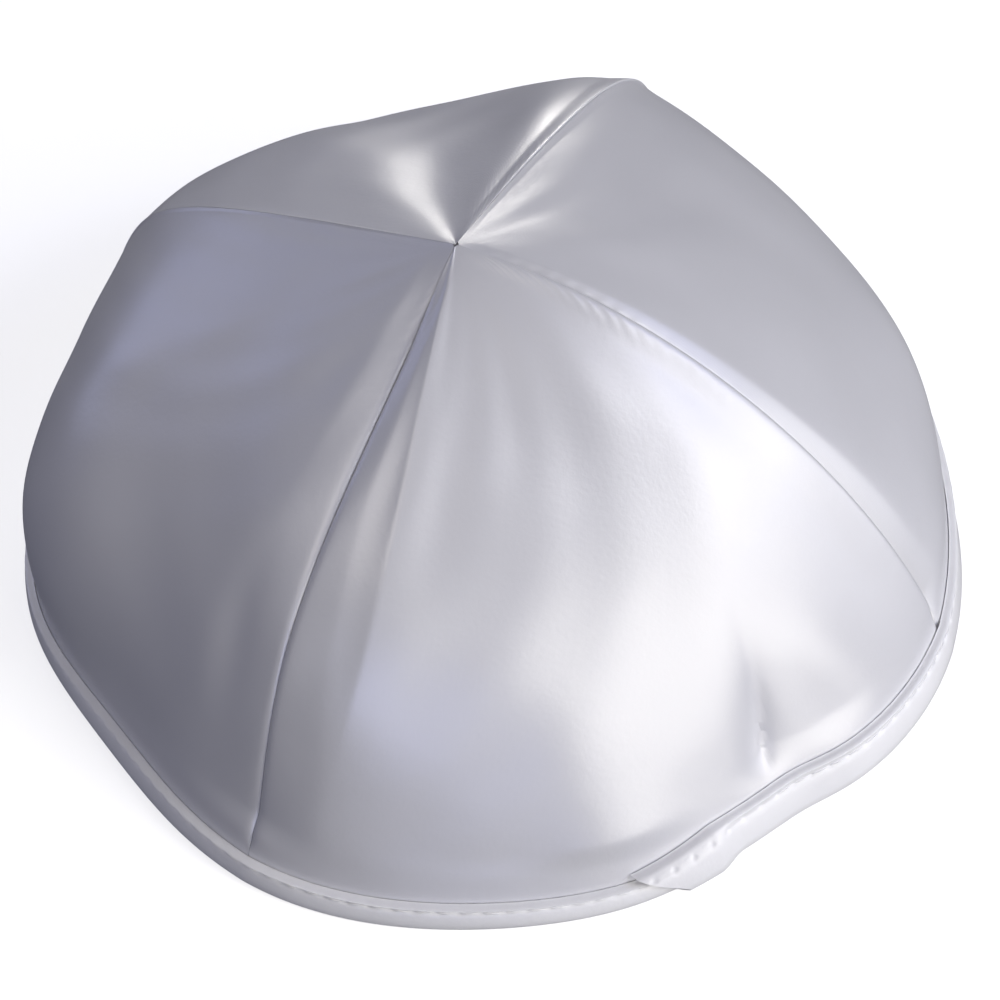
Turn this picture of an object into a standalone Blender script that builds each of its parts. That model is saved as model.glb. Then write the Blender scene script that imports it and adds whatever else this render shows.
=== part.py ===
"""Four-panel satin skullcap: four sewn panels and a folded tape round the rim, open below.

Metres, +Z up, the cap resting on its rim at z = 0 with its front towards -Y. Each piece is one
closed solid. The origin is the middle of the cap's rectangle, seen from above, on the floor.
"""
import math

import bmesh
import bpy
import numpy as np

# Driving sizes, in metres
RIM_RADIUS = 0.0850         # middle of the rim to the outside of its binding
CROWN_HEIGHT = 0.0760       # floor to the point where the four seams meet
CLOTH = 0.0012              # wall of a panel
TAPE = 0.0010               # wall of the folded binding
TAPE_WIDTH = 0.0076         # how far the lapped end of the binding climbs each face of the cloth
TAPE_NARROWING = 0.56       # share of that width which is lost by the tape's other end
CLEARANCE = 0.0003          # gap between neighbouring pieces
SEAM_DIP = 0.0005           # depth of the valley along a seam
SEAM_DIP_WIDTH = 0.0012     # from the seam to the shoulder of that valley
ALLOWANCE = 0.0060          # width of the cloth turned in beside a seam, on the inside
ALLOWANCE_RISE = 0.0005     # how much thicker the wall is there
ALLOWANCE_EASE = 0.0008     # width of the step down from that thickness
SEAM_EASE = 0.0040          # stretch above the binding in which valley and allowance die out
TIP_RADIUS = 0.0009         # the panels' points stop this far from the meeting of the seams
LAP = 0.0130                # length of the binding's end that lies over its start
LAP_SLANT = 0.0080          # how much further the lap reaches along its top edge
LAP_STEP = 0.0050           # stretch in which the binding climbs onto its own start
LAP_TAPER = 0.35            # share of its width which the lap loses towards its end

# The seams meet off the middle, as shares of the rim radius
APEX_SHARE_X = -0.079
APEX_SHARE_Y = -0.064

# A seam runs from the apex to the rim as one cubic curve of radius and height.
# azimuth: degrees from +X. reach: rim radius. shoulder: radius of the second point.
# droop: fall to the second point for each metre out. waist: radius of the third point.
# waist_up: height of the third point. All but the angle are shares of the named sizes.
SEAM_COLUMNS = ("azimuth", "reach", "shoulder", "droop", "waist", "waist_up")
SEAMS = (
    (-118.4, 1.010, 0.87, 0.32, 0.805, 0.59),
    (-23.0, 0.984, 0.53, 0.04, 0.925, 0.32),
    (68.8, 1.024, 0.80, 0.40, 0.865, 0.48),
    (157.5, 0.980, 0.95, 0.33, 0.690, 0.72),
)

# A panel swells between its seams. spring: angle in degrees between the cloth and the straight
# line to the next seam, at the rim. fullness: length of the curve's handles over that line.
PANEL_COLUMNS = ("spring", "fullness")
PANELS = {
    "panel_front": (50.6, 0.342),
    "panel_right": (42.6, 0.357),
    "panel_back": (56.2, 0.265),
    "panel_left": (40.8, 0.362),
}
APEX_SPRING = 12.5          # the same angle at the apex, in degrees

# Folds and dents. across and down place one on its panel as shares of the way from seam to seam
# and from apex to rim, lean moves it across on the way down, wide and long are its spreads, and
# height is a share of the rim radius, negative for a dent. At the right and on the left the
# rim is tucked in under the side of the cap.
FOLD_COLUMNS = ("panel", "across", "down", "lean", "wide", "long", "height")
FOLDS = (
    (0, 0.17, 0.45, -0.15, 0.07, 0.30, 0.014),
    (0, 0.50, 0.95, 0.00, 0.16, 0.25, 0.012),
    (0, 0.65, 1.00, 0.00, 0.14, 0.30, -0.031),
    (0, 0.70, 0.93, 0.00, 0.05, 0.12, -0.010),
    (1, 0.37, 0.78, 0.00, 0.22, 0.13, 0.033),
    (1, 0.40, 1.00, 0.00, 0.35, 0.10, -0.046),
    (2, 0.35, 0.45, 0.00, 0.25, 0.30, -0.046),
    (3, 0.20, 0.60, 0.00, 0.20, 0.25, 0.045),
    (3, 0.46, 0.79, 0.00, 0.20, 0.24, 0.115),
    (3, 0.79, 0.95, 0.00, 0.17, 0.25, -0.011),
    (3, 0.33, 1.00, 0.00, 0.44, 0.12, -0.044),
)
FOLD_FADE = 0.7             # power with which folds die out towards the seams

# The lap lies on the front panel, at this share of the way from its left seam
LAP_SHARE = 0.567

# Fineness of the mesh
ROWS = 22                   # from a panel's tip to the rim
ROW_CROWDING = 1.10         # power that puts more of them near the tip
MIDDLE_COLUMNS = 13         # across a panel, between the cloth turned in at its seams
SIDE_SHARE = 0.35           # most of a narrow row that the columns beside one seam may take
TAPE_LEVELS = (0.0, 0.5, 1.0)
LAP_RINGS = (0.35, 0.7, 1.0)
NORMAL_REACH = 0.0015       # steps to either side from which the cloth's direction is measured
ROW_SHARE = 0.01
ASIDE_SHARE = 0.45
EDGE_SHARE = 0.9            # share of the way down from which the slope at the rim is measured
UPRIGHT_REACH = 0.0072      # width of a panel at which its tip starts to lie level
SMOOTH_ANGLE = 40.0

# Colours, roughness and metallic value of each piece
FINISH = {
    "panel_front": ((0.78, 0.78, 0.81), 0.42, 0.0),
    "panel_right": ((0.77, 0.77, 0.81), 0.42, 0.0),
    "panel_back": ((0.77, 0.77, 0.80), 0.42, 0.0),
    "panel_left": ((0.77, 0.77, 0.81), 0.42, 0.0),
    "rim_binding": ((0.82, 0.82, 0.84), 0.38, 0.0),
}


def column(table, columns, name):
    """One named column of a table, as an array."""
    return np.array([row[columns.index(name)] for row in table], dtype=float)


def seam_value(name, index):
    return column(SEAMS, SEAM_COLUMNS, name)[index]


def panel_value(name, index):
    return column(tuple(PANELS.values()), PANEL_COLUMNS, name)[index]


def bezier(start, first, second, end, t):
    """Cubic curve through four control values."""
    s = 1.0 - t
    return s * s * s * start + 3 * s * s * t * first + 3 * s * t * t * second + t * t * t * end


def smooth_step(value):
    value = np.clip(value, 0.0, 1.0)
    return value * value * (3.0 - 2.0 * value)


def unit(vectors):
    return vectors / np.maximum(np.linalg.norm(vectors, axis=-1, keepdims=True), 1e-9)


def seam_points(index, t):
    """Points of the cloth's outer face along a seam, t running from the apex to the rim."""
    edge_height = TAPE + CLEARANCE
    reach = seam_value("reach", index) * RIM_RADIUS - TAPE - CLEARANCE
    shoulder = seam_value("shoulder", index) * reach
    fall = seam_value("droop", index) * shoulder
    waist_up = edge_height + seam_value("waist_up", index) * (CROWN_HEIGHT - edge_height)
    radius = bezier(0.0, shoulder, seam_value("waist", index) * reach, reach, t)
    height = bezier(CROWN_HEIGHT, CROWN_HEIGHT - fall, waist_up, edge_height, t)
    azimuth = np.radians(seam_value("azimuth", index))
    pull = 1.0 - radius / reach
    x = radius * np.cos(azimuth) + APEX_SHARE_X * RIM_RADIUS * pull
    y = radius * np.sin(azimuth) + APEX_SHARE_Y * RIM_RADIUS * pull
    return np.stack([x, y, height], -1)


def fold_height(index, x, t):
    """How far the folds lift the cloth at share x across a panel and t down it."""
    total = np.zeros_like(x)
    for panel, across, down, lean, wide, long, height in FOLDS:
        aside = (x - across - lean * (t - down)) / wide
        along = (t - down) / long
        bump = height * RIM_RADIUS * np.exp(-aside * aside - along * along)
        total = total + np.where(index == panel, bump, 0.0)
    return total * np.maximum(4.0 * x * (1.0 - x), 0.0) ** FOLD_FADE


def cloth(u, t):
    """Outer face of the cap. u counts the panels round from the front's left seam, t goes down."""
    u, t = np.broadcast_arrays(np.asarray(u, dtype=float), np.asarray(t, dtype=float))
    u = np.mod(u, len(SEAMS))
    index = np.minimum(u.astype(int), len(SEAMS) - 1)
    x = u - index
    start = seam_points(index, t)
    end = seam_points((index + 1) % len(SEAMS), t)
    span = end - start
    length = np.linalg.norm(span[..., :2], axis=-1)
    along = unit(span[..., :2])
    out = np.stack([along[..., 1], -along[..., 0]], -1)
    spring = np.radians(APEX_SPRING + (panel_value("spring", index) - APEX_SPRING) * t)
    handle = panel_value("fullness", index) * length
    ahead = along * (np.cos(spring) * handle)[..., None]
    swell = out * (np.sin(spring) * handle)[..., None]
    first = np.concatenate([start[..., :2] + ahead + swell, (start + span / 3)[..., 2:]], -1)
    second = np.concatenate([end[..., :2] - ahead + swell, (end - span / 3)[..., 2:]], -1)
    point = bezier(start, first, second, end, x[..., None])
    return point + unit(point) * fold_height(index, x, t)[..., None]


def panel_width(index, t):
    """Width of a panel from seam to seam, as its edges see it."""
    span = seam_points((index + 1) % len(SEAMS), t) - seam_points(index, t)
    length = np.linalg.norm(span[..., :2], axis=-1)
    return np.maximum(3.0 * panel_value("fullness", index) * length, 1e-6)


def tape_width(u):
    """Width of each leg of the binding, which narrows all the way round from the lap."""
    way_round = np.clip((u - LAP_SHARE) / len(SEAMS), 0.0, 1.0)
    along_lap = np.clip((LAP_SHARE - u) * panel_width(0, np.array(1.0)) / LAP, 0.0, 1.0)
    return TAPE_WIDTH * (1.0 - TAPE_NARROWING * way_round - LAP_TAPER * along_lap)


def above_rim(u, t):
    """Distance along the cloth from its lower edge."""
    slope = np.linalg.norm(cloth(u, np.ones_like(t)) - cloth(u, np.full_like(t, EDGE_SHARE)), axis=-1)
    return (1.0 - t) * slope / (1.0 - EDGE_SHARE)


def down_to(u, height):
    """The value of t at a distance along the cloth above its lower edge."""
    return 1.0 - height / above_rim(u, np.zeros_like(u))


def wall_direction(u, t):
    """Direction through the cloth, outwards: level at the rim and upright at the apex."""
    index = np.minimum(np.mod(u, len(SEAMS)).astype(int), len(SEAMS) - 1)
    aside = np.minimum(NORMAL_REACH / panel_width(index, t), ASIDE_SHARE)
    across = cloth(u + aside, t) - cloth(u - aside, t)
    down = cloth(u, t + ROW_SHARE) - cloth(u, np.maximum(t - ROW_SHARE, 0.0))
    normal = unit(np.cross(down, across))
    level = smooth_step(1.0 - above_rim(u, t) / TAPE_WIDTH)
    normal[..., 2] = normal[..., 2] * (1.0 - level)
    upright = np.exp(-(panel_width(index, t) / UPRIGHT_REACH) ** 2)
    normal = normal * (1.0 - upright)[..., None]
    normal[..., 2] = normal[..., 2] + upright
    return unit(normal)


def column_shares(width):
    """Shares across a panel: close together beside its seams and even between them."""
    steps = (SEAM_DIP_WIDTH, 2.5 * SEAM_DIP_WIDTH, ALLOWANCE, ALLOWANCE + ALLOWANCE_EASE)
    shrink = min(1.0, SIDE_SHARE * width / steps[-1])
    side = np.array([CLEARANCE / 2.0] + [CLEARANCE / 2.0 + step * shrink for step in steps])
    middle = np.linspace(side[-1], width - side[-1], MIDDLE_COLUMNS + 2)[1:-1]
    return np.concatenate([side, middle, (width - side)[::-1]]) / width


def panel_faces(index):
    """Grids of points on a panel's outer and inner face."""
    first_t = TIP_RADIUS / (3.0 * seam_value("shoulder", index) * RIM_RADIUS)
    outer = []
    inner = []
    for row in range(ROWS + 1):
        down = first_t + (1.0 - first_t) * (row / ROWS) ** ROW_CROWDING
        width = float(panel_width(index, np.array(down)))
        shares = column_shares(width)
        u = index + shares
        t = np.full_like(shares, down)
        beside_seam = np.minimum(shares, 1.0 - shares) * width
        fade = smooth_step((above_rim(u, t) - TAPE_WIDTH) / SEAM_EASE)
        dip = SEAM_DIP * np.exp(-(beside_seam / SEAM_DIP_WIDTH) ** 2) * fade
        turned_in = np.clip((ALLOWANCE + ALLOWANCE_EASE - beside_seam) / ALLOWANCE_EASE, 0.0, 1.0)
        wall = CLOTH + ALLOWANCE_RISE * turned_in * fade
        face = cloth(u, t) - wall_direction(u, t) * dip[:, None]
        outer.append(face)
        inner.append(face - wall_direction(u, t) * wall[:, None])
    return np.array(outer), np.array(inner)


def add_grid(mesh, grid, flip):
    """Add a grid of points and the quads between them, and return its rows of vertices."""
    rows = [[mesh.verts.new(point) for point in row] for row in grid]
    for upper, lower in zip(rows, rows[1:]):
        for k in range(len(upper) - 1):
            corners = [upper[k], lower[k], lower[k + 1], upper[k + 1]]
            mesh.faces.new(corners[::-1] if flip else corners)
    return rows


def border(rows):
    """The vertices round the edge of a grid, in order."""
    left = [row[0] for row in rows[1:-1]]
    right = [row[-1] for row in rows[1:-1]]
    return rows[0] + right + rows[-1][::-1] + left[::-1]


def make_panel(index):
    """One panel: two faces a cloth's wall apart, joined round their border."""
    mesh = bmesh.new()
    outer, inner = panel_faces(index)
    outside = border(add_grid(mesh, outer, False))
    inside = border(add_grid(mesh, inner, True))
    for k in range(len(outside)):
        m = (k + 1) % len(outside)
        mesh.faces.new([outside[k], outside[m], inside[m], inside[k]])
    return mesh


def tape_section(u, lift):
    """Points of the folded binding's section at u: its visible side, then its hidden side.

    lift moves the outer leg away from the cloth, where the binding climbs onto its start.
    """
    u = np.asarray(u, dtype=float)
    heights = [level * tape_width(u) for level in TAPE_LEVELS]
    base = cloth(u, np.ones_like(u))
    level_out = wall_direction(u, np.ones_like(u))

    def leg(offset, height):
        t = down_to(u, height)
        return cloth(u, t) + wall_direction(u, t) * offset

    def foot(offset, height):
        point = base + level_out * offset
        point[..., 2] = height
        return point

    far = CLEARANCE + TAPE
    back = CLOTH + CLEARANCE
    visible = [leg(far + lift, height) for height in heights[::-1]]
    visible.append(foot(far + lift, 0.5 * TAPE))
    visible.append(foot(far + lift - 0.6 * TAPE, 0.0))
    visible.append(foot(-back - 0.4 * TAPE, 0.0))
    visible.append(foot(-back - TAPE, 0.5 * TAPE))
    visible.extend(leg(-back - TAPE, height) for height in heights)
    hidden = [leg(-back, height) for height in heights[:0:-1]]
    hidden.append(foot(-back, TAPE))
    hidden.append(foot(CLEARANCE + lift, TAPE))
    hidden.extend(leg(CLEARANCE + lift, height) for height in heights[1:])
    return visible + hidden


def rim_stations():
    """Values of u round the whole rim, in line with the panels' columns, from the lap on."""
    stations = []
    for index in range(len(SEAMS)):
        width = float(panel_width(index, np.array(1.0)))
        stations.extend(index + column_shares(width))
    length = float(panel_width(0, np.array(1.0)))
    start = LAP_SHARE + CLEARANCE / (2.0 * length)
    end = len(SEAMS) + LAP_SHARE - CLEARANCE / (2.0 * length)
    near = 0.2 * LAP_STEP / length
    steps = [LAP_SHARE + share * LAP_STEP / length for share in (0.25, 0.5, 0.75, 1.0)]
    stations = [u if u > LAP_SHARE else u + len(SEAMS) for u in stations]
    past = steps[-1] + near
    stations = [u for u in stations if past < u < end - near]
    return [start] + steps + sorted(stations) + [end]


def make_binding():
    """The folded tape round the rim, whose end lies over its start on the front panel."""
    mesh = bmesh.new()
    length = float(panel_width(0, np.array(1.0)))
    over = TAPE + CLEARANCE
    rings = []
    for u in rim_stations():
        lift = over * float(smooth_step(1.0 - (u - LAP_SHARE) * length / LAP_STEP))
        rings.append([mesh.verts.new(point) for point in tape_section(u, lift)])
    for ring, after in zip(rings, rings[1:]):
        for k in range(len(ring)):
            m = (k + 1) % len(ring)
            mesh.faces.new([ring[k], after[k], after[m], ring[m]])
    mesh.faces.new(rings[-1])

    # The outer leg goes on past the start as the lap, and the rest of the section stops
    levels = len(TAPE_LEVELS)
    leg = list(range(levels + 1)) + list(range(len(rings[0]) - levels, len(rings[0])))
    rest = [k for k in range(len(rings[0])) if k not in leg or k in (levels, leg[levels + 1])]
    mesh.faces.new([rings[0][k] for k in rest][::-1])
    before = [rings[0][k] for k in leg]
    for share in LAP_RINGS:
        points = []
        for k, height in zip(leg, TAPE_LEVELS[::-1] + (0.0,) + TAPE_LEVELS):
            reach = LAP + LAP_SLANT * (height - 1.0)
            section = tape_section(LAP_SHARE - share * reach / length, over)
            points.append(section[k])
        after = [mesh.verts.new(point) for point in points]
        for k in range(len(leg)):
            m = (k + 1) % len(leg)
            mesh.faces.new([after[k], before[k], before[m], after[m]])
        before = after
    mesh.faces.new(before[::-1])
    return mesh


def satin(name):
    """A plain material for one piece."""
    colour, roughness, metallic = FINISH[name]
    material = bpy.data.materials.new(name + "_satin")
    material.use_nodes = True
    shader = material.node_tree.nodes["Principled BSDF"]
    shader.inputs["Base Color"].default_value = (*colour, 1.0)
    shader.inputs["Roughness"].default_value = roughness
    shader.inputs["Metallic"].default_value = metallic
    return material


def add_piece(name, mesh):
    """Turn a finished mesh into a named, smooth-shaded object."""
    bmesh.ops.recalc_face_normals(mesh, faces=mesh.faces)
    data = bpy.data.meshes.new(name)
    mesh.to_mesh(data)
    mesh.free()
    data.shade_smooth()
    data.set_sharp_from_angle(angle=math.radians(SMOOTH_ANGLE))
    data.materials.append(satin(name))
    piece = bpy.data.objects.new(name, data)
    bpy.context.scene.collection.objects.link(piece)
    return piece


def centre(pieces):
    """Move every mesh so that the origin is the middle of the whole cap's rectangle from above."""
    corners = np.array([vertex.co for piece in pieces for vertex in piece.data.vertices])
    middle = (corners.min(axis=0) + corners.max(axis=0)) / 2.0
    for piece in pieces:
        for vertex in piece.data.vertices:
            vertex.co.x -= middle[0]
            vertex.co.y -= middle[1]


def main():
    for thing in list(bpy.data.objects):
        bpy.data.objects.remove(thing, do_unlink=True)
    pieces = [add_piece(name, make_panel(index)) for index, name in enumerate(PANELS)]
    pieces.append(add_piece("rim_binding", make_binding()))
    centre(pieces)


main()
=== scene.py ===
import math

import bmesh
import bpy
import numpy as np
from mathutils import Matrix, Vector


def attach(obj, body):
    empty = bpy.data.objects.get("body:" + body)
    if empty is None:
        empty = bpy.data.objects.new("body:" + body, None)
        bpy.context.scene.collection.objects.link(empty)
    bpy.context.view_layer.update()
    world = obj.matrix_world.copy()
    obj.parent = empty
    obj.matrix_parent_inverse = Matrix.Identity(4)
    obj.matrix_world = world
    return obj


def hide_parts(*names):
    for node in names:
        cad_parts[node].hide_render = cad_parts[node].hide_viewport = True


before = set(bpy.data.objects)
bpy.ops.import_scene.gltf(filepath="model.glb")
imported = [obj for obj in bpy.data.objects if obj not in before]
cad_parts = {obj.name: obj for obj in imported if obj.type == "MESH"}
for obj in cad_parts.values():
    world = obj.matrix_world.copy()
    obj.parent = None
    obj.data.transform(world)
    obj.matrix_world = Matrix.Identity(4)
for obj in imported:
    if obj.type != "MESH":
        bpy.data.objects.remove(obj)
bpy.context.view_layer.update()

# The cap's own sizes, in metres
RIM_RADIUS = 0.0850         # middle of the rim to the outside of its binding
CROWN_HEIGHT = 0.0760       # floor to the point where the four seams meet
CLOTH = 0.0012              # wall of a panel
TAPE = 0.0010               # wall of the folded binding
TAPE_WIDTH = 0.0076         # how far the lapped end of the binding climbs each face of the cloth
TAPE_NARROWING = 0.56       # share of that width which is lost by the tape's other end
CLEARANCE = 0.0003          # gap between neighbouring pieces
ALLOWANCE = 0.0060          # width of the cloth turned in beside a seam, on the inside
ALLOWANCE_RISE = 0.0005     # how much thicker the wall is there
LAP = 0.0130                # length of the binding's end that lies over its start
LAP_SLANT = 0.0080          # how much further the lap reaches along its top edge
LAP_STEP = 0.0050           # stretch in which the binding climbs onto its own start
LAP_TAPER = 0.35            # share of its width which the lap loses towards its end
LAP_PLACE = 0.567           # where its start is, as a share of the front panel's width
APEX_X = -0.079             # the seams meet off the middle, as shares of the rim radius
APEX_Y = -0.064

# Each seam as one cubic curve of radius and height, in shares of the sizes above
SEAM_COLUMNS = ("azimuth", "reach", "shoulder", "droop", "waist", "waist_up")
SEAMS = (
    (-118.4, 1.010, 0.87, 0.32, 0.805, 0.59),
    (-23.0, 0.984, 0.53, 0.04, 0.925, 0.32),
    (68.8, 1.024, 0.80, 0.40, 0.865, 0.48),
    (157.5, 0.980, 0.95, 0.33, 0.690, 0.72),
)

# How each panel swells between its seams: angle in degrees at the rim, and fullness
PANEL_COLUMNS = ("spring", "fullness")
PANELS = {
    "panel_front": (50.6, 0.342),
    "panel_right": (42.6, 0.357),
    "panel_back": (56.2, 0.265),
    "panel_left": (40.8, 0.362),
}
APEX_SPRING = 12.5          # that angle at the apex

# Soft folds and dents: places and spreads in shares of the panel, height in rim radii
FOLD_COLUMNS = ("panel", "across", "down", "lean", "wide", "long", "height")
FOLDS = (
    (0, 0.17, 0.45, -0.15, 0.07, 0.30, 0.014),
    (0, 0.50, 0.95, 0.00, 0.16, 0.25, 0.012),
    (0, 0.65, 1.00, 0.00, 0.14, 0.30, -0.031),
    (0, 0.70, 0.93, 0.00, 0.05, 0.12, -0.010),
    (1, 0.37, 0.78, 0.00, 0.22, 0.13, 0.033),
    (1, 0.40, 1.00, 0.00, 0.35, 0.10, -0.046),
    (2, 0.35, 0.45, 0.00, 0.25, 0.30, -0.046),
    (3, 0.20, 0.60, 0.00, 0.20, 0.25, 0.045),
    (3, 0.46, 0.79, 0.00, 0.20, 0.24, 0.115),
    (3, 0.79, 0.95, 0.00, 0.17, 0.25, -0.011),
    (3, 0.33, 1.00, 0.00, 0.44, 0.12, -0.044),
)
FOLD_FADE = 0.7             # the folds fade towards the seams by this power

# The camera, from the photograph's perspective
CAMERA_ELEVATION = 56.7
CAMERA_DISTANCE = 0.420
CAMERA_ROLL = 0.26
CAMERA_TARGET = (0.0002, -0.0247, 0.0350)   # before the cap is centred on its rim
FOCAL_LENGTH_PX = 2623.0
PICTURE_PX = 1000.0
SENSOR_MM = 36.0
CLIP_START = 0.01

# Studio: a light's angles are in degrees, its distance and size in metres, its power in watts
LIGHT_COLUMNS = ("name", "azimuth", "elevation", "distance", "size", "power", "colour")
LIGHTS = (
    ("key", -44.0, 5.0, 1.2, 0.80, 8.4, (1.00, 0.97, 0.90)),
    ("seam_side", -20.0, 24.0, 1.2, 0.40, 3.0, (1.00, 0.98, 0.96)),
    ("seam_high", -22.0, 46.0, 1.2, 0.30, 2.2, (1.00, 0.98, 0.96)),
    ("low_right", 2.0, 5.0, 1.2, 0.60, 2.8, (0.96, 0.96, 1.00)),
    ("high_right", 0.0, 38.0, 1.2, 0.60, 2.1, (0.36, 0.45, 1.00)),
    ("back", 85.0, 4.5, 1.2, 0.20, 3.0, (1.00, 0.97, 0.92)),
    ("back_fill", 110.0, 30.0, 1.2, 0.60, 1.1, (0.94, 0.94, 1.00)),
    ("high_left", -120.0, 58.0, 1.2, 0.60, 2.1, (1.00, 0.94, 0.88)),
    ("left_back", 150.0, 22.0, 1.2, 0.60, 1.8, (0.55, 0.60, 1.00)),
    ("front", -92.0, 6.0, 1.2, 0.60, 2.2, (0.52, 0.58, 1.00)),
)
LIGHT_AIM = 0.03            # height on which the lights aim
WORLD_COLOUR = (0.86, 0.86, 1.0, 1.0)
WORLD_STRENGTH = 0.06
FLOOR_SIDE = 6.0
FLOOR_COLOUR = (0.9, 0.9, 0.9, 1.0)
FLOOR_ROUGHNESS = 0.9
FLOOR_GLOW = 0.62

# Finish of the cloth
SATIN_COLOUR = (0.70, 0.70, 0.72)
TAPE_COLOUR = (0.90, 0.90, 0.90)
ROUGHNESS = 0.36
THREAD_ROUGHNESS = 0.46
ROUGHNESS_LESS = 0.04       # how far the roughness swings below and above its middle value
ROUGHNESS_MORE = 0.05
SATIN_SPECULAR = 0.9
SATIN_IOR = 1.75
TAPE_SPECULAR = 0.6
SHEEN = 0.12
SHEEN_ROUGHNESS = 0.45
SATIN_SHADE = 0.965         # darkest tone of each cloth, as a share of its colour
TAPE_SHADE = 0.955
TONE_SPAN = (0.35, 0.65)    # part of the noise over which the tone changes
WEAVE_ANGLE = 45.0
UV_PER_METRE = 10.0

# Noises of the finish: fineness, detail and roughness of the pattern
NOISES = {
    "satin_tone": (38.0, 4.0, 0.5),
    "satin_gloss": (55.0, 3.0, 0.5),
    "satin_crumple": (95.0, 5.0, 0.6),
    "satin_weave": (1300.0, 2.0, 0.5),
    "tape_tone": (90.0, 4.0, 0.5),
    "tape_gloss": (160.0, 3.0, 0.5),
    "tape_crumple": (210.0, 4.0, 0.6),
    "tape_weave": (1500.0, 2.0, 0.5),
}
TWILL = (150.0, 0.8)        # fineness and waviness of the slanting lines

# Bumps of the finish: depth in metres and strength
BUMPS = {
    "satin_crumple": (0.001, 0.10),
    "satin_twill": (0.0001, 0.05),
    "satin_weave": (0.0001, 0.16),
    "tape_crumple": (0.0008, 0.14),
    "tape_weave": (0.0001, 0.25),
}

# Fineness of the meshes
PANEL_ROWS = 170
PANEL_COLUMNS_COUNT = 190
ROW_CROWDING = 1.1          # power that draws the rows together at the crown
COLUMN_CROWDING = 0.75      # share of the columns' spacing that is finer beside the seams
SMOOTH_ANGLE = 40.0
THREAD_SMOOTH_ANGLE = 60.0

# How the cloth's direction and its slope at the rim are measured
NORMAL_REACH = 0.0015       # half the stretch over which the cloth's direction is taken
ROW_REACH = 0.01
ASIDE_SHARE = 0.45          # the most of a panel's width which that stretch takes
EDGE_SHARE = 0.9            # where the slope above the rim is taken
UPRIGHT_REACH = 0.0072      # panel width near the apex at which the wall has turned upright
TIP_RADIUS = 0.0005         # hole left where the panels' tips meet

# The grid on which the cap's middle is found
MIDDLE_STEPS = (801, 141)
MIDDLE_FROM = 0.3


def column(table, columns, name):
    """One named column of a table, as an array."""
    return np.array([row[columns.index(name)] for row in table], dtype=float)


def seam_value(name, index):
    """A value of one seam, or of many when index is an array."""
    return column(SEAMS, SEAM_COLUMNS, name)[index]


def panel_value(name, index):
    """A value of one panel, or of many when index is an array."""
    return column(tuple(PANELS.values()), PANEL_COLUMNS, name)[index]


def bezier(start, first, second, end, t):
    """Cubic curve through four control values."""
    s = 1.0 - t
    return s * s * s * start + 3 * s * s * t * first + 3 * s * t * t * second + t * t * t * end


def smooth_step(value):
    """0 below 0, 1 above 1, and a soft rise between."""
    value = np.clip(value, 0.0, 1.0)
    return value * value * (3.0 - 2.0 * value)


def unit(vectors):
    """Vectors of the same directions, one long."""
    return vectors / np.maximum(np.linalg.norm(vectors, axis=-1, keepdims=True), 1e-9)


def seam_points(index, t):
    """Points of the cloth's outer face along a seam, t running from the apex to the rim."""
    edge_height = TAPE + CLEARANCE
    reach = seam_value("reach", index) * RIM_RADIUS - TAPE - CLEARANCE
    shoulder = seam_value("shoulder", index) * reach
    fall = seam_value("droop", index) * shoulder
    waist_up = edge_height + seam_value("waist_up", index) * (CROWN_HEIGHT - edge_height)
    radius = bezier(0.0, shoulder, seam_value("waist", index) * reach, reach, t)
    height = bezier(CROWN_HEIGHT, CROWN_HEIGHT - fall, waist_up, edge_height, t)
    azimuth = np.radians(seam_value("azimuth", index))
    pull = 1.0 - radius / reach
    x = radius * np.cos(azimuth) + APEX_X * RIM_RADIUS * pull
    y = radius * np.sin(azimuth) + APEX_Y * RIM_RADIUS * pull
    return np.stack([x, y, height], -1)


def fold_height(index, x, t):
    """How far the folds lift the cloth at share x across a panel and t down it."""
    total = np.zeros_like(x)
    for row in FOLDS:
        fold = dict(zip(FOLD_COLUMNS, row))
        aside = (x - fold["across"] - fold["lean"] * (t - fold["down"])) / fold["wide"]
        along = (t - fold["down"]) / fold["long"]
        rise = fold["height"] * RIM_RADIUS * np.exp(-aside * aside - along * along)
        total = total + np.where(index == fold["panel"], rise, 0.0)
    return total * np.maximum(4.0 * x * (1.0 - x), 0.0) ** FOLD_FADE


def cloth(u, t):
    """Outer face of the cap. u counts the panels round from the front's left seam, t goes down."""
    u, t = np.broadcast_arrays(np.asarray(u, dtype=float), np.asarray(t, dtype=float))
    u = np.mod(u, len(SEAMS))
    index = np.minimum(u.astype(int), len(SEAMS) - 1)
    x = u - index
    start = seam_points(index, t)
    end = seam_points((index + 1) % len(SEAMS), t)
    span = end - start
    length = np.linalg.norm(span[..., :2], axis=-1)
    along = unit(span[..., :2])
    out = np.stack([along[..., 1], -along[..., 0]], -1)
    spring = np.radians(APEX_SPRING + (panel_value("spring", index) - APEX_SPRING) * t)
    handle = panel_value("fullness", index) * length
    ahead = along * (np.cos(spring) * handle)[..., None]
    swell = out * (np.sin(spring) * handle)[..., None]
    first = np.concatenate([start[..., :2] + ahead + swell, (start + span / 3)[..., 2:]], -1)
    second = np.concatenate([end[..., :2] - ahead + swell, (end - span / 3)[..., 2:]], -1)
    point = bezier(start, first, second, end, x[..., None])
    return point + unit(point) * fold_height(index, x, t)[..., None]


def panel_width(index, t):
    """Width of a panel from seam to seam, as its edges see it."""
    span = seam_points((index + 1) % len(SEAMS), t) - seam_points(index, t)
    length = np.linalg.norm(span[..., :2], axis=-1)
    return np.maximum(3.0 * panel_value("fullness", index) * length, 1e-6)


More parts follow.
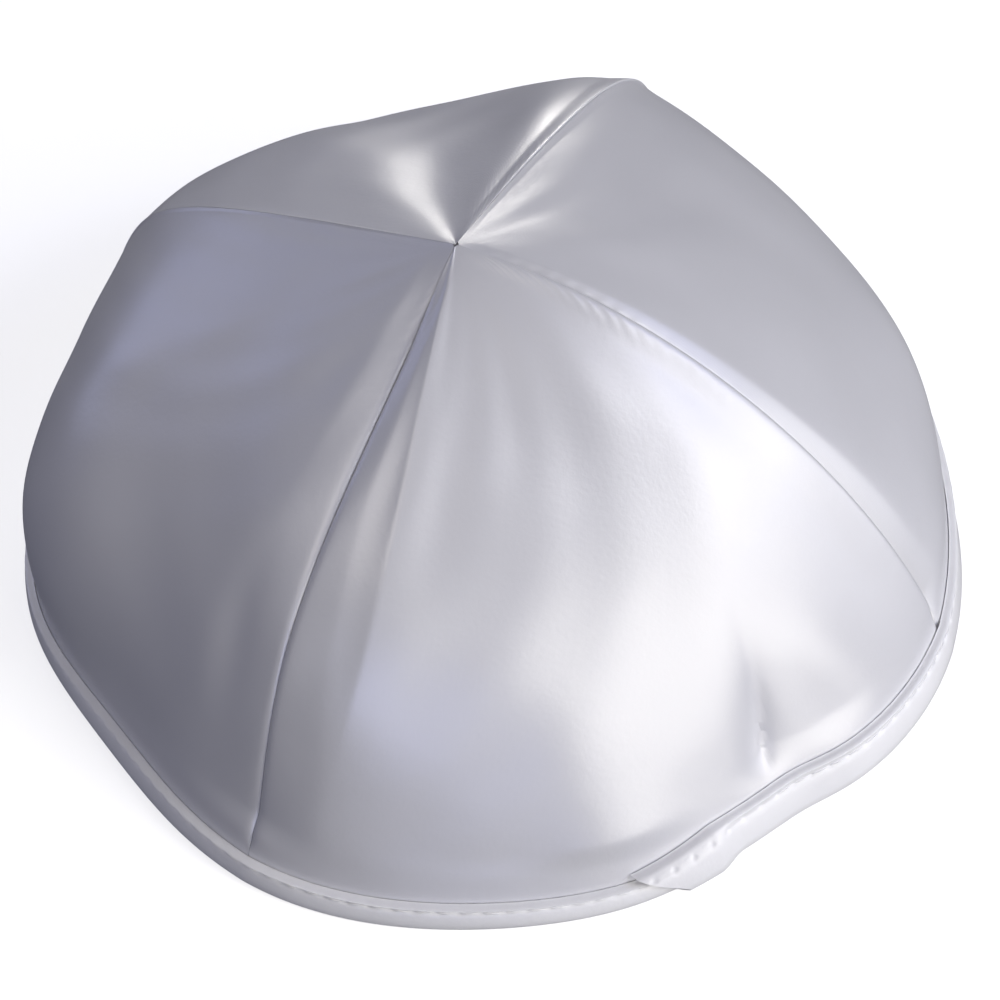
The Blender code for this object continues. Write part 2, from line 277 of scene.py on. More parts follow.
def tape_width(u):
    """Width of each leg of the binding, which narrows all the way round from the lap."""
    way_round = np.clip((u - LAP_PLACE) / len(SEAMS), 0.0, 1.0)
    along_lap = np.clip((LAP_PLACE - u) * panel_width(0, np.array(1.0)) / LAP, 0.0, 1.0)
    return TAPE_WIDTH * (1.0 - TAPE_NARROWING * way_round - LAP_TAPER * along_lap)


def above_rim(u, t):
    """Distance along the cloth from its lower edge."""
    stretch = cloth(u, np.ones_like(t)) - cloth(u, np.full_like(t, EDGE_SHARE))
    return (1.0 - t) * np.linalg.norm(stretch, axis=-1) / (1.0 - EDGE_SHARE)


def down_to(u, height):
    """The value of t at a distance along the cloth above its lower edge."""
    whole = above_rim(u, np.zeros_like(u))
    return 1.0 - height / whole


def wall_direction(u, t):
    """Direction through the cloth, outwards: level at the rim and upright at the apex."""
    index = np.minimum(np.mod(u, len(SEAMS)).astype(int), len(SEAMS) - 1)
    aside = np.minimum(NORMAL_REACH / panel_width(index, t), ASIDE_SHARE)
    across = cloth(u + aside, t) - cloth(u - aside, t)
    down = cloth(u, t + ROW_REACH) - cloth(u, np.maximum(t - ROW_REACH, 0.0))
    normal = unit(np.cross(down, across))
    level = smooth_step(1.0 - above_rim(u, t) / TAPE_WIDTH)
    normal[..., 2] = normal[..., 2] * (1.0 - level)
    upright = np.exp(-(panel_width(index, t) / UPRIGHT_REACH) ** 2)
    normal = normal * (1.0 - upright)[..., None]
    normal[..., 2] = normal[..., 2] + upright
    return unit(normal)


def cap_middle():
    """Middle of the cap's rectangle as seen from above, on which it is centred."""
    round_steps, down_steps = MIDDLE_STEPS
    round_way = np.linspace(0.0, len(SEAMS), round_steps)
    u, t = np.meshgrid(round_way, np.linspace(MIDDLE_FROM, 1.0, down_steps), indexing="ij")
    near_rim = above_rim(u, t) < tape_width(u)
    binding = np.where(near_rim, TAPE + CLEARANCE, 0.0)
    face = (cloth(u, t) + wall_direction(u, t) * binding[..., None]).reshape(-1, 3)
    middle = (face.min(axis=0) + face.max(axis=0)) / 2.0
    middle[2] = 0.0
    return middle


MIDDLE = cap_middle()


def mesh_object(name, points, faces, smooth_angle=SMOOTH_ANGLE):
    """A smooth-shaded object from points in the cap's first frame, moved to its centre."""
    data = bpy.data.meshes.new(name)
    data.from_pydata((np.asarray(points) - MIDDLE).tolist(), [], faces)
    mesh = bmesh.new()
    mesh.from_mesh(data)
    bmesh.ops.recalc_face_normals(mesh, faces=mesh.faces)
    mesh.to_mesh(data)
    mesh.free()
    data.shade_smooth()
    data.set_sharp_from_angle(angle=math.radians(smooth_angle))
    piece = bpy.data.objects.new(name, data)
    bpy.context.scene.collection.objects.link(piece)
    return piece


def grid_faces(rows, columns, first=0, flip=False):
    """Four-sided faces of a grid of points that is numbered row by row."""
    faces = []
    for i in range(rows - 1):
        for j in range(columns - 1):
            a = first + i * columns + j
            quad = (a, a + columns, a + columns + 1, a + 1)
            faces.append(quad[::-1] if flip else quad)
    return faces


def border(rows, columns, first=0):
    """Indices round the edge of a grid of points, in order."""
    top = [first + j for j in range(columns)]
    right = [first + i * columns + columns - 1 for i in range(1, rows - 1)]
    bottom = [first + (rows - 1) * columns + j for j in range(columns)]
    left = [first + i * columns for i in range(1, rows - 1)]
    return top + right + bottom[::-1] + left[::-1]


# What the cloth does beside each seam, in metres: how deep the panel before it and the panel
# after it lie at the seam, how far that slope spreads into each, depth and spread of the
# creased line itself, and height of the puckers
SEAM_RELIEF_COLUMNS = ("deep_before", "deep_after", "before", "after", "line", "line_wide", "pucker")
SEAM_RELIEF = (
    (0.0014, 0.0014, 0.0200, 0.0120, 0.00050, 0.0006, 0.00005),
    (-0.0006, 0.0016, 0.0100, 0.0080, 0.00070, 0.0005, 0.00010),
    (-0.0003, -0.0007, 0.0040, 0.0060, 0.00010, 0.0005, 0.00003),
    (-0.0003, -0.0003, 0.0016, 0.0016, 0.00020, 0.0005, 0.00004),
)
SHOULDER = 0.18             # softness of the valleys' upper edge
SLOPE_AT_CROWN = 0.20       # share of a slope's spread which is left at the crown
SEAM_GAP = 0.00008          # between two panels' edges
PUCKER_LENGTH = 0.0021      # from one pucker of a seam to the next
PUCKER_BEAT = 3.7           # how much longer a second wave is, which makes them uneven
BEAT_SHARE = 0.5            # that wave's height as a share of the first, and where it starts
BEAT_START = 1.3
PUCKER_REACH = 0.0007       # distance from a seam at which its puckers are highest
PUCKER_FADE = 0.22          # share of the way down by which the puckers have smoothed out
PUCKER_LEFT = 0.15          # share of the puckers which is left below that
CROWN_EASE = 0.028          # width of a panel at which its seams' relief is full
HEM = 0.0020                # stretch above the binding in which the seams' lines deepen
RELIEF_HEM = 0.0060         # stretch above the binding in which folds and slopes grow
LINE_FROM = 0.7             # where the seams' lines start, as a share of the binding's width
PANEL_EASE = 0.0008         # stretch in which the cloth turned in on the inside thins out
ALLOWANCE_EASE = 0.0040     # stretch above the binding in which that cloth thickens

# Slight folds that the satin shows as soft light and shade. Places and spreads are shares
# of the panel, heights metres; a crisp one is a crease with a sharp bottom or top
SOFT_COLUMNS = ("panel", "across", "down", "lean", "wide", "long", "height", "crisp")
SOFT_FOLDS = (
    (0, 0.43, 0.94, 0.05, 0.06, 0.20, 0.0008, 0),
    (0, 0.54, 1.00, 0.00, 0.09, 0.16, 0.0016, 0),
    (0, 0.56, 0.94, 0.05, 0.06, 0.18, -0.0010, 0),
    (0, 0.675, 0.86, -0.16, 0.034, 0.16, -0.0025, 1),
    (0, 0.675, 0.86, -0.16, 0.018, 0.13, -0.0006, 1),
    (0, 0.770, 0.86, 0.10, 0.045, 0.12, -0.0008, 0),
    (0, 0.155, 0.40, -0.15, 0.04, 0.28, 0.0007, 1),
    (0, 0.52, 0.22, 0.00, 0.18, 0.14, -0.0008, 0),
    (1, 0.09, 0.97, 0.00, 0.10, 0.16, 0.0014, 0),
    (1, 0.55, 0.45, 0.00, 0.14, 0.25, -0.0006, 0),
    (2, 0.12, 0.34, 0.00, 0.10, 0.24, 0.0010, 0),
    (2, 0.43, 0.15, 0.00, 0.12, 0.22, -0.0005, 0),
    (2, 0.60, 0.40, 0.10, 0.12, 0.25, 0.0006, 0),
    (3, 0.90, 0.60, 0.10, 0.04, 0.18, -0.0006, 0),
    (3, 0.35, 0.50, -0.10, 0.07, 0.30, 0.0006, 0),
)
CRISP_TIP = 0.01            # how far a crisp fold's tip is rounded
SEAM_CALM = 0.3             # the soft folds fade towards the seams by this power
RUMPLE = 0.00022            # height of the small waves all over the cloth
RUMPLE_LENGTH = 0.021
RUMPLE_EASE = 0.060         # width of a panel at which those waves are full
RUMPLE_ROUND = 4.1          # radians across a panel of a wave whose rate is 1

# Those waves: rate round and down, where each starts, and its share of the height
RUMPLE_WAVES = (
    (2.3, 1.9, 0.7, 1.0),
    (-3.1, 1.3, 2.1, 1.0),
    (5.3, 3.7, 4.0, 0.6),
    (-7.1, 4.9, 0.0, 0.5),
)

# Face of the tape: heights are shares of its width, all else is in metres
STITCH = 0.0036             # from needle hole to needle hole
STITCH_LEVEL = 0.74         # height of the stitch line
GROOVE = 0.00018            # how deep that line lies
GROOVE_SPREAD = 0.06
DIMPLE = 0.00030            # how much deeper each needle hole is
DIMPLE_POWER = 5            # how narrow the holes' dimples are along the tape
ROLL = 0.00020              # how far the rolled top edge stands out
ROLL_LEVEL = 0.90           # where the edge starts to roll
ROLL_SPREAD = 0.05
TOP_TURN = 0.00110          # how far the rolled edge turns in to the cloth
TAPE_PUCKER = 0.00006       # how much less it stands out at each hole
TAPE_PUCKER_LEVEL = 0.93
TAPE_PUCKER_SPREAD = 0.08
BELLY = 0.00012             # how far the tape swells below the stitch line
BELLY_TOP = 0.66
HIDDEN_GAP = 0.00008        # gap that is left between the tape and the cloth under it
LAP_LEAN = 0.70             # height above which the lap leans back to the cloth
LAP_LEVEL = 0.97            # height at which it lies on the cloth again

# Thread of the stitch line
THREAD = 0.00034            # its thickness
THREAD_SHOWS = (0.12, 0.88) # part of each stitch that lies on the tape
THREAD_THIN = 0.55          # thickness at the holes, as a share of the whole
THREAD_ARCH = 0.45          # how far it rises between the holes, in thicknesses
THREAD_SUNK = 0.3           # how far it lies sunk in the tape, in thicknesses
THREAD_LIFT = 0.00004       # what lifts it off the groove's floor
THREAD_FIRST = 3            # stitches that are left out at the start, under the lap

# Fineness of the tape's and the thread's meshes
RING_COUNT = 1000
CLIMB_RINGS = 30
LAP_RINGS = 48
WAY_STEPS = 2401
THREAD_STEPS = 4001
THREAD_SPOKES = 6
THREAD_PARTS = 7
AHEAD = 0.001               # half the stretch over which the tape's own direction is taken


def panel_grid(index):
    """Values of x and t of a panel's mesh: rows from the tip to the rim, finer beside the seams."""
    first_t = TIP_RADIUS / (3.0 * seam_value("shoulder", index) * RIM_RADIUS)
    t = first_t + (1.0 - first_t) * np.linspace(0.0, 1.0, PANEL_ROWS) ** ROW_CROWDING
    even = np.linspace(-1.0, 1.0, PANEL_COLUMNS_COUNT)
    crowded = np.sin(even * math.pi / 2.0)
    x = 0.5 + 0.5 * ((1.0 - COLUMN_CROWDING) * even + COLUMN_CROWDING * crowded)
    t, x = np.meshgrid(t, x, indexing="ij")
    width = panel_width(index, t)
    margin = SEAM_GAP / 2.0 / width
    return margin + x * (1.0 - 2.0 * margin), t, width


def seam_relief(name, seam):
    """One value of a seam's relief; seams are counted on round the cap."""
    return SEAM_RELIEF[seam % len(SEAMS)][SEAM_RELIEF_COLUMNS.index(name)]


def beside_seams(index, x, width):
    """For a panel's two seams: number, depth and reach of the slope there, distance from it."""
    ahead = index + 1
    after = (index, seam_relief("deep_after", index), seam_relief("after", index))
    before = (ahead, seam_relief("deep_before", ahead), seam_relief("before", ahead))
    return (*after, x * width), (*before, (1.0 - x) * width)


def relief_ease(width, height):
    """Share of the relief that shows: none at the very crown or at the binding."""
    return smooth_step(width / CROWN_EASE) * smooth_step((height - TAPE_WIDTH) / RELIEF_HEM)


def valley_depth(index, x, t, width, height):
    """How far the cloth sinks towards a panel's seams: a straight slope with a soft shoulder."""
    total = np.zeros_like(x)
    spread = SLOPE_AT_CROWN + (1.0 - SLOPE_AT_CROWN) * t
    for seam, deep, reach, beside in beside_seams(index, x, width):
        up = 1.0 - beside / (reach * spread)
        total = total + deep * (np.sqrt(up * up + SHOULDER ** 2) + up) / 2.0
    return total * relief_ease(width, height)


def seam_step(index, x, width, height):
    """How much deeper the other panel lies at the nearer seam, so that no gap shows there."""
    after = seam_relief("deep_before", index) - seam_relief("deep_after", index)
    before = seam_relief("deep_after", index + 1) - seam_relief("deep_before", index + 1)
    step = np.maximum(np.where(x < 0.5, after, before), 0.0)
    return step * relief_ease(width, height)


def edge_relief(index, x, t, width, height):
    """How far the outer face sinks at the sewn lines, with the puckers of the thread."""
    wave = np.sin(2.0 * math.pi * height / PUCKER_LENGTH)
    beat = 2.0 * math.pi * height / (PUCKER_LENGTH * PUCKER_BEAT) + BEAT_START
    wave = wave + BEAT_SHARE * np.sin(beat)
    wave = wave * (PUCKER_LEFT + (1.0 - PUCKER_LEFT) * np.exp(-(t / PUCKER_FADE) ** 2))
    total = np.zeros_like(x)
    for seam, deep, reach, beside in beside_seams(index, x, width):
        total = total + seam_relief("line", seam) * np.exp(-beside / seam_relief("line_wide", seam))
        rise = beside / PUCKER_REACH
        total = total + seam_relief("pucker", seam) * wave * rise * np.exp(1.0 - rise)
    ease = smooth_step((height - TAPE_WIDTH * LINE_FROM) / HEM)
    return total * smooth_step(width / CROWN_EASE) * ease


def soft_relief(index, x, t, width, height):
    """Height of a panel's slight folds and small waves."""
    total = np.zeros_like(x)
    for row in SOFT_FOLDS:
        fold = dict(zip(SOFT_COLUMNS, row))
        if fold["panel"] != index:
            continue
        aside = (x - fold["across"] - fold["lean"] * (t - fold["down"])) / fold["wide"]
        along = (t - fold["down"]) / fold["long"]
        if fold["crisp"]:
            shape = np.exp(-np.sqrt(aside * aside + CRISP_TIP))
        else:
            shape = np.exp(-aside * aside)
        total = total + fold["height"] * shape * np.exp(-along * along)
    around = (index + x) * RUMPLE_ROUND
    down = height / RUMPLE_LENGTH
    waves = np.zeros_like(x)
    for round_rate, down_rate, start, share in RUMPLE_WAVES:
        waves = waves + share * np.sin(around * round_rate + down * down_rate + start)
    total = total + RUMPLE * waves / 2.0 * smooth_step(width / RUMPLE_EASE)
    calm = (4.0 * x * (1.0 - x)) ** SEAM_CALM
    return total * calm * relief_ease(width, height)


def make_panel(index, cad):
    """One satin panel, its outer face with all its relief and its inner face with the allowances."""
    x, t, width = panel_grid(index)
    u = index + x
    direction = wall_direction(u, t)
    height = above_rim(u, t)
    lift = soft_relief(index, x, t, width, height) - valley_depth(index, x, t, width, height)
    face = cloth(u, t) + direction * lift[..., None]
    outer = face - direction * edge_relief(index, x, t, width, height)[..., None]
    beside = np.minimum(x, 1.0 - x) * width
    fade = smooth_step((height - TAPE_WIDTH) / ALLOWANCE_EASE)
    turned_in = np.clip((ALLOWANCE + PANEL_EASE - beside) / PANEL_EASE, 0.0, 1.0)
    allowance = ALLOWANCE_RISE * fade + seam_step(index, x, width, height)
    wall = CLOTH + allowance * turned_in
    inner = face - direction * wall[..., None]
    rows, columns = x.shape
    count = rows * columns
    faces = grid_faces(rows, columns) + grid_faces(rows, columns, count, True)
    outside = border(rows, columns)
    inside = border(rows, columns, count)
    for k in range(len(outside)):
        m = (k + 1) % len(outside)
        faces.append((outside[k], outside[m], inside[m], inside[k]))
    points = np.concatenate([outer.reshape(-1, 3), inner.reshape(-1, 3)])
    piece = mesh_object(cad + "_satin", points, faces)
    across = ((x - 0.5) * width).ravel()
    lay_uv(piece, np.concatenate([across, across]), np.concatenate([height.ravel(), height.ravel()]))
    return piece


def lay_uv(piece, across, down):
    """Give a mesh a flat layout of its cloth."""
    layer = piece.data.uv_layers.new(name="cloth")
    loops = np.zeros(len(piece.data.loops), dtype=np.int32)
    piece.data.loops.foreach_get("vertex_index", loops)
    uv = np.stack([across[loops], down[loops]], -1) * UV_PER_METRE
    layer.data.foreach_set("uv", uv.astype(np.float32).ravel())


# Section of the folded binding, from the top of its outer leg round its foot to the
# top of its inner leg, and back along its hidden side. Heights are shares of its width,
# and the lines of a foot have their angle in degrees instead.
LEG_HEIGHTS = (
    1.0, 0.985, 0.965, 0.945, 0.92, 0.89, 0.86, 0.83, 0.80,
    0.77, 0.74, 0.71, 0.68, 0.64, 0.55, 0.42, 0.28, 0.14,
)
HIDDEN_HEIGHTS = (0.97, 0.6, 0.3)
FOOT_ANGLES = (0, 22, 45, 68, 90)
SECTION = (
    [("outer leg", level) for level in LEG_HEIGHTS]
    + [("outer foot", angle) for angle in FOOT_ANGLES]
    + [("inner foot", angle) for angle in FOOT_ANGLES[::-1]]
    + [("inner leg", level) for level in LEG_HEIGHTS[::-1]]
    + [("inner back", level) for level in HIDDEN_HEIGHTS]
    + [("inner turn", 0.0), ("outer turn", 0.0)]
    + [("outer back", level) for level in HIDDEN_HEIGHTS[::-1]]
)


def leg_bulge(share):
    """How far the tape stands off the flat at a height: a rolled edge above a sewn groove."""
    roll = ROLL * np.exp(-((share - ROLL_LEVEL) / ROLL_SPREAD) ** 2)
    turn = TOP_TURN * smooth_step((share - ROLL_LEVEL) / (1.0 - ROLL_LEVEL))
    groove = GROOVE * np.exp(-((share - STITCH_LEVEL) / GROOVE_SPREAD) ** 2)
    belly = BELLY * np.sin(np.clip(share / BELLY_TOP, 0.0, 1.0) * math.pi)
    return roll + belly - groove - turn


def lifted(lift, share):
    """The lift of the lap over what lies under it: its top edge leans back to the cloth."""
    return lift * (1.0 - smooth_step((share - LAP_LEAN) / (LAP_LEVEL - LAP_LEAN)))


def stitch_wave(u, way):
    """Needle holes and puckers along the tape: 1 at a hole, 0 half-way to the next."""
    return 0.5 + 0.5 * np.cos(2.0 * math.pi * way(u) / STITCH)


def way_table():
    """A function that gives the length along the rim at a value of u."""
    u = np.linspace(-1.0, len(SEAMS) + 1.0, WAY_STEPS)
    edge = cloth(u, np.ones_like(u))
    steps = np.linalg.norm(np.diff(edge, axis=0), axis=-1)
    length = np.concatenate([[0.0], np.cumsum(steps)])

    def way(value):
        return np.interp(value, u, length)

    return way


def tape_leg(u, share, width, offset, sign, way):
    """A line of the tape's outer (sign 1) or inner (sign -1) leg, at a share of its width."""
    hole = stitch_wave(u, way)
    near = np.exp(-((share - STITCH_LEVEL) / GROOVE_SPREAD) ** 2)
    dimple = DIMPLE * near * hole ** DIMPLE_POWER
    near_top = np.exp(-((share - TAPE_PUCKER_LEVEL) / TAPE_PUCKER_SPREAD) ** 2)
    pucker = TAPE_PUCKER * near_top * hole
    return along_cloth(u, share, width, offset + sign * (leg_bulge(share) - dimple - pucker))


def along_cloth(u, share, width, offset):
    """A line at a share of the tape's width above the rim, and at an offset from the cloth."""
    t = down_to(u, width * share)
    return cloth(u, t) + wall_direction(u, t) * (offset * np.ones_like(u))[..., None]


def tape_foot(u, offset, height):
    """A line round the tape's foot, at an offset from the cloth and a height above the floor."""
    rim = np.ones_like(u)
    point = cloth(u, rim) + wall_direction(u, rim) * (offset * np.ones_like(u))[..., None]
    point[..., 2] = height
    return point


def section_line(part, level, u, width, lift, way):
    """One line of the tape's section along u, lifted where it lies over its own start."""
    out = CLEARANCE + TAPE
    back = -CLOTH - CLEARANCE
    if part == "outer leg":
        return tape_leg(u, level, width, out + lifted(lift, level), 1.0, way)
    if part == "inner leg":
        return tape_leg(u, level, width, back - TAPE, -1.0, way)
    if part == "inner back":
        return along_cloth(u, level, width, back)
    if part == "outer back":
        return along_cloth(u, level, width, HIDDEN_GAP + lifted(lift, level))
    if part == "inner turn":
        return tape_foot(u, back, TAPE)
    if part == "outer turn":
        return tape_foot(u, CLEARANCE + lift, TAPE)
    angle = math.radians(level)
    height = TAPE * (1.0 - math.sin(angle))
    if part == "outer foot":
        return tape_foot(u, out + lift - TAPE * (1.0 - math.cos(angle)), height)
    return tape_foot(u, back - TAPE * math.cos(angle), height)


def make_tape(name):
    """The folded binding, whose outer leg runs on as a lap over its own start."""
    way = way_table()
    length = float(panel_width(0, np.array(1.0)))
    start = LAP_PLACE + CLEARANCE / (2.0 * length)
    end = len(SEAMS) + LAP_PLACE - CLEARANCE / (2.0 * length)
    climb = np.linspace(0.0, 1.0, CLIMB_RINGS) * LAP_STEP / length
    u = np.concatenate([start + climb, np.linspace(start + climb[-1], end, RING_COUNT)[1:]])
    width = tape_width(u)
    lift = (TAPE + CLEARANCE) * smooth_step(1.0 - (u - LAP_PLACE) * length / LAP_STEP)
    lines = [section_line(part, level, u, width, lift, way) for part, level in SECTION]
    points = [np.stack(lines, 1).reshape(-1, 3)]
    n = len(SECTION)
    first = (len(u) - 1) * n
    faces = []
    for i in range(len(u) - 1):
        for k in range(n):
            m = (k + 1) % n
            faces.append((i * n + k, (i + 1) * n + k, (i + 1) * n + m, i * n + m))
    faces.append(tuple(range(first, first + n)))

    # The start of the tape is closed by the lap's own end rings and by a face for the rest
    outer = len(LEG_HEIGHTS) + len(FOOT_ANGLES)
    hidden = n - 1 - len(HIDDEN_HEIGHTS)
    leg = list(range(outer)) + list(range(hidden, n))
    rest = [outer - 1] + list(range(outer, hidden)) + [hidden]
    faces.append(tuple(rest[::-1]))
    lap, lap_faces = make_lap(leg, len(u) * n, length, way)
    points.append(lap)
    return mesh_object(name, np.concatenate(points), faces + lap_faces)


def make_lap(leg, first, length, way):
    """Points and faces of the lap, from the lines of the section that it is made of."""
    shares = np.linspace(0.0, 1.0, LAP_RINGS + 1)[1:]
    lift = (TAPE + CLEARANCE) * np.ones(LAP_RINGS)
    lines = []
    for k in leg:
        part, level = SECTION[k]
        share = level if part.endswith(("leg", "back")) else 0.0
        reach = LAP + LAP_SLANT * (share - 1.0)
        place = LAP_PLACE - shares * reach / length
        lines.append(section_line(part, level, place, tape_width(place), lift, way))
    faces = []
    before = leg
    for i in range(LAP_RINGS):
        after = [first + i * len(leg) + k for k in range(len(leg))]
        for k in range(len(leg)):
            m = (k + 1) % len(leg)
            faces.append((after[k], before[k], before[m], after[m]))
        before = after
    faces.append(tuple(before[::-1]))
    return np.stack(lines, 1).reshape(-1, 3), faces


def stitch_faces(stitches, first):
    """Faces of a row of threads, whose points run spoke by spoke and stitch by stitch."""
    jump = stitches * THREAD_PARTS
    faces = []
    for stitch in range(stitches):
        ends = [first + stitch * THREAD_PARTS + k * jump for k in range(THREAD_SPOKES)]
        for i in range(THREAD_PARTS - 1):
            for k in range(THREAD_SPOKES):
                a = ends[k] + i
                b = ends[(k + 1) % THREAD_SPOKES] + i
                faces.append((a, a + 1, b + 1, b))
        faces.append(tuple(ends))
        faces.append(tuple(end + THREAD_PARTS - 1 for end in reversed(ends)))
    return faces


def make_stitches(name):
    """The thread that shows between the needle holes of the binding, outside and inside."""
    way = way_table()
    fine = np.linspace(LAP_PLACE, len(SEAMS) + LAP_PLACE, THREAD_STEPS)
    total = way(fine)
    first = math.ceil(total[0] / STITCH + THREAD_FIRST)
    last = math.floor(total[-1] / STITCH)
    holes = np.arange(first, last) * STITCH
    part = np.linspace(*THREAD_SHOWS, THREAD_PARTS)
    arch = np.sin((part - part[0]) / (part[-1] - part[0]) * math.pi)
    thick = THREAD / 2.0 * (THREAD_THIN + (1.0 - THREAD_THIN) * arch)
    rise = leg_bulge(STITCH_LEVEL) + THREAD_LIFT + THREAD * (THREAD_ARCH * arch - THREAD_SUNK)
    u = np.interp(holes[:, None] + part * STITCH, total, fine)
    t = down_to(u, tape_width(u) * STITCH_LEVEL)
    normal = wall_direction(u, t)
    ahead = unit(cloth(u + AHEAD, t) - cloth(u - AHEAD, t))
    upward = np.cross(normal, ahead)
    points = []
    faces = []
    for side, surface in ((1.0, CLEARANCE + TAPE), (-1.0, -CLOTH - CLEARANCE - TAPE)):
        faces += stitch_faces(len(holes), len(points) * len(holes) * THREAD_PARTS)
        middle = cloth(u, t) + normal * (surface + side * rise)[..., None]
        for turn in np.linspace(0.0, 2.0 * math.pi, THREAD_SPOKES, endpoint=False):
            spoke = normal * math.cos(turn) + upward * math.sin(turn)
            points.append((middle + spoke * thick[..., None]).reshape(-1, 3))
    return mesh_object(name, np.concatenate(points), faces, THREAD_SMOOTH_ANGLE)


def add_node(tree, kind, inputs=(), **values):
    """A shader node with its settings, and its input values given by name."""
    made = tree.nodes.new(kind)
    for key, value in values.items():
        setattr(made, key, value)
    for key, value in inputs:
        made.inputs[key].default_value = value
    return made


def twill(tree):
    """Slanting lines of the weave, laid out on the cloth itself."""
    scale, distortion = TWILL
    angle = math.radians(WEAVE_ANGLE)
    place = add_node(tree, "ShaderNodeUVMap", uv_map="cloth")
    turn = add_node(tree, "ShaderNodeMapping", [("Rotation", (0.0, 0.0, angle))])
    wave = add_node(tree, "ShaderNodeTexWave", [
        ("Scale", scale), ("Distortion", distortion), ("Detail", 2.0), ("Detail Scale", 1.5)])
    tree.links.new(place.outputs["UV"], turn.inputs["Vector"])
    tree.links.new(turn.outputs["Vector"], wave.inputs["Vector"])
    return wave.outputs["Fac"]


def noise(tree, name):
    """One of the noises of the finish, by its name."""
    scale, detail, roughness = NOISES[name]
    place = add_node(tree, "ShaderNodeTexCoord")
    made = add_node(tree, "ShaderNodeTexNoise", [
        ("Scale", scale), ("Detail", detail), ("Roughness", roughness)])
    tree.links.new(place.outputs["Object"], made.inputs["Vector"])
    return made.outputs["Fac"]


def remap(tree, value, low, high):
    """A value between 0 and 1 brought between two others."""
    made = add_node(tree, "ShaderNodeMapRange", [("To Min", low), ("To Max", high)])
    tree.links.new(value, made.inputs["Value"])
    return made.outputs["Result"]


def bump(tree, height, name, before=None):
    """One of the bumps of the finish, by its name, on top of the one before it."""
    distance, strength = BUMPS[name]
    made = add_node(tree, "ShaderNodeBump", [("Distance", distance), ("Strength", strength)])
    tree.links.new(height, made.inputs["Height"])
    if before is not None:
        tree.links.new(before, made.inputs["Normal"])
    return made.outputs["Normal"]


def tint(tree, value, dark, light):
    """A colour between two near tones."""
    ramp = add_node(tree, "ShaderNodeValToRGB")
    for element, colour, place in zip(ramp.color_ramp.elements, (dark, light), TONE_SPAN):
        element.color = (*colour, 1.0)
        element.position = place
    tree.links.new(value, ramp.inputs["Fac"])
    return ramp.outputs["Color"]


def cloth_material(name, kind, colour, roughness, specular, shade):
    """White satin with a broad soft gloss, slight changes of tone, crumple and fine weave."""
    material = bpy.data.materials.new(name)
    material.use_nodes = True
    tree = material.node_tree
    shader = tree.nodes["Principled BSDF"]
    shader.inputs["Specular IOR Level"].default_value = specular
    shader.inputs["Sheen Weight"].default_value = SHEEN
    shader.inputs["Sheen Roughness"].default_value = SHEEN_ROUGHNESS
    dark = tuple(value * shade for value in colour)
    tone = tint(tree, noise(tree, kind + "_tone"), dark, colour)
    tree.links.new(tone, shader.inputs["Base Color"])
    smoothest = roughness - ROUGHNESS_LESS
    gloss = remap(tree, noise(tree, kind + "_gloss"), smoothest, roughness + ROUGHNESS_MORE)
    tree.links.new(gloss, shader.inputs["Roughness"])
    normal = bump(tree, noise(tree, kind + "_crumple"), kind + "_crumple")
    if kind == "satin":
        shader.inputs["IOR"].default_value = SATIN_IOR
        normal = bump(tree, twill(tree), "satin_twill", normal)
    normal = bump(tree, noise(tree, kind + "_weave"), kind + "_weave", normal)
    tree.links.new(normal, shader.inputs["Normal"])
    return material


def satin_material(name):
    """The panels' satin."""
    return cloth_material(name, "satin", SATIN_COLOUR, ROUGHNESS, SATIN_SPECULAR, SATIN_SHADE)


def tape_material(name, roughness):
    """The binding and its thread: the same satin in a lighter white."""
    return cloth_material(name, "tape", TAPE_COLOUR, roughness, TAPE_SPECULAR, TAPE_SHADE)


def add_area(name, azimuth, elevation, distance, size, power, colour):
    """A soft square light that looks at the middle of the cap."""
    light = bpy.data.lights.new(name, "AREA")
    light.shape = "SQUARE"
    light.size = size
    light.energy = power
    light.color = colour
    lamp = bpy.data.objects.new(name, light)
    a = math.radians(azimuth)
    e = math.radians(elevation)
    direction = Vector((math.cos(a) * math.cos(e), math.sin(a) * math.cos(e), math.sin(e)))
    lamp.location = Vector((0.0, 0.0, LIGHT_AIM)) + direction * distance
    lamp.rotation_euler = (-direction).to_track_quat("-Z", "Y").to_euler()
    bpy.context.scene.collection.objects.link(lamp)
    return lamp


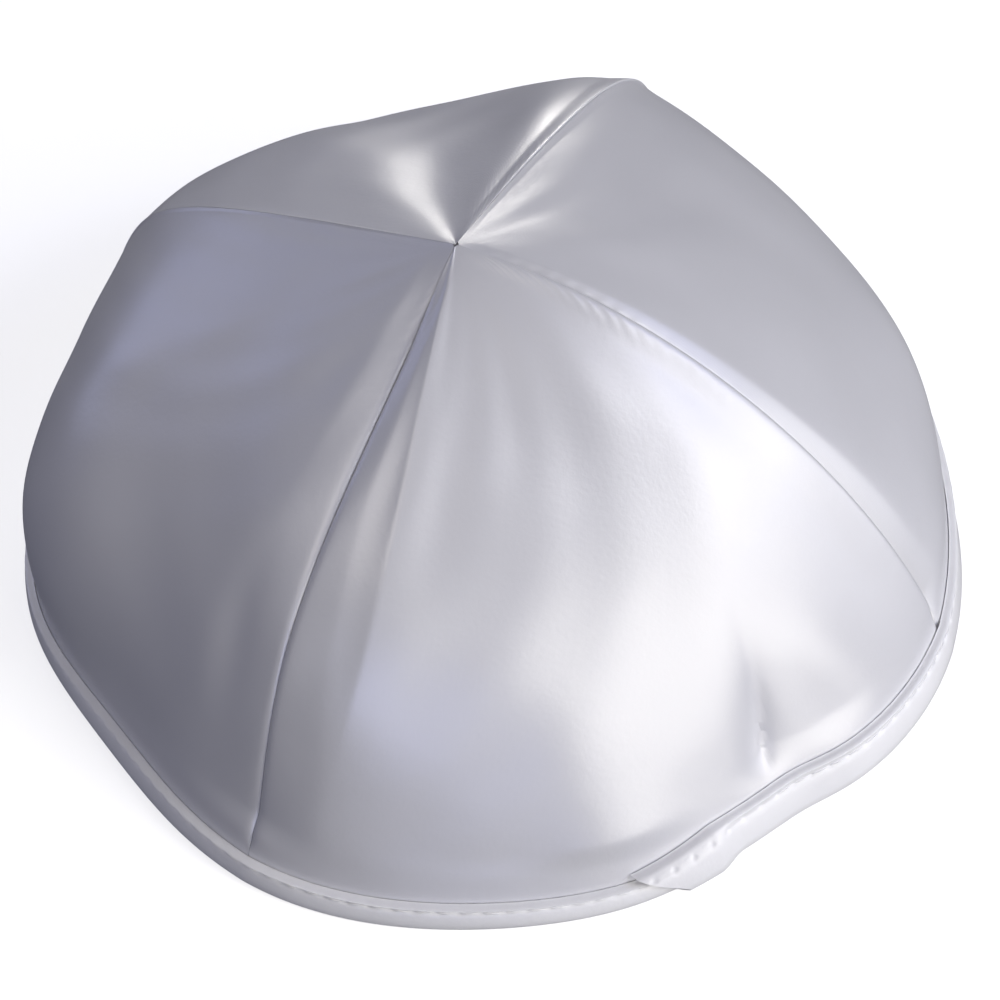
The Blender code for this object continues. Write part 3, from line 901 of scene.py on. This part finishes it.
def add_camera():
    """A camera in front of the cap and above it, with the photograph's perspective."""
    e = math.radians(CAMERA_ELEVATION)
    roll = math.radians(CAMERA_ROLL)
    ahead = Vector((0.0, math.cos(e), -math.sin(e)))
    level = Vector((1.0, 0.0, 0.0))
    upright = level.cross(ahead)
    right = level * math.cos(roll) + upright * math.sin(roll)
    up = upright * math.cos(roll) - level * math.sin(roll)
    data = bpy.data.cameras.new("camera")
    data.sensor_width = SENSOR_MM
    data.lens = SENSOR_MM * FOCAL_LENGTH_PX / PICTURE_PX
    data.clip_start = CLIP_START
    camera = bpy.data.objects.new("camera", data)
    place = Vector(CAMERA_TARGET) - Vector(MIDDLE) - ahead * CAMERA_DISTANCE
    turn = Matrix((right, up, -ahead)).transposed().to_4x4()
    camera.matrix_world = Matrix.Translation(place) @ turn
    bpy.context.scene.collection.objects.link(camera)
    bpy.context.scene.camera = camera


def add_floor():
    """A plain pale floor that glows a little, so that it stays white under soft light."""
    data = bpy.data.meshes.new("floor")
    half = FLOOR_SIDE / 2.0
    corners = [(-half, -half, 0), (half, -half, 0), (half, half, 0), (-half, half, 0)]
    data.from_pydata(corners, [], [(0, 1, 2, 3)])
    floor = bpy.data.objects.new("floor", data)
    bpy.context.scene.collection.objects.link(floor)
    material = bpy.data.materials.new("floor_paper")
    material.use_nodes = True
    shader = material.node_tree.nodes["Principled BSDF"]
    shader.inputs["Base Color"].default_value = FLOOR_COLOUR
    shader.inputs["Roughness"].default_value = FLOOR_ROUGHNESS
    shader.inputs["Emission Color"].default_value = (1.0, 1.0, 1.0, 1.0)
    shader.inputs["Emission Strength"].default_value = FLOOR_GLOW
    floor.data.materials.append(material)
    floor.visible_diffuse = False
    floor.visible_glossy = False


def add_world():
    """A faint even light from all round."""
    world = bpy.data.worlds.new("studio")
    world.use_nodes = True
    background = world.node_tree.nodes["Background"]
    background.inputs["Color"].default_value = WORLD_COLOUR
    background.inputs["Strength"].default_value = WORLD_STRENGTH
    bpy.context.scene.world = world


def main():
    add_camera()
    add_floor()
    add_world()
    bpy.context.scene.view_settings.view_transform = "Standard"
    for values in LIGHTS:
        add_area(**dict(zip(LIGHT_COLUMNS, values)))
    for index, cad in enumerate(PANELS):
        piece = make_panel(index, cad)
        piece.data.materials.append(satin_material(cad + "_cloth"))
        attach(piece, "root")
        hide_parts(cad)
    tape = make_tape("rim_binding_satin")
    tape.data.materials.append(tape_material("binding_cloth", ROUGHNESS))
    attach(tape, "root")
    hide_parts("rim_binding")
    thread = make_stitches("rim_stitches")
    thread.data.materials.append(tape_material("thread", THREAD_ROUGHNESS))
    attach(thread, "root")


main()
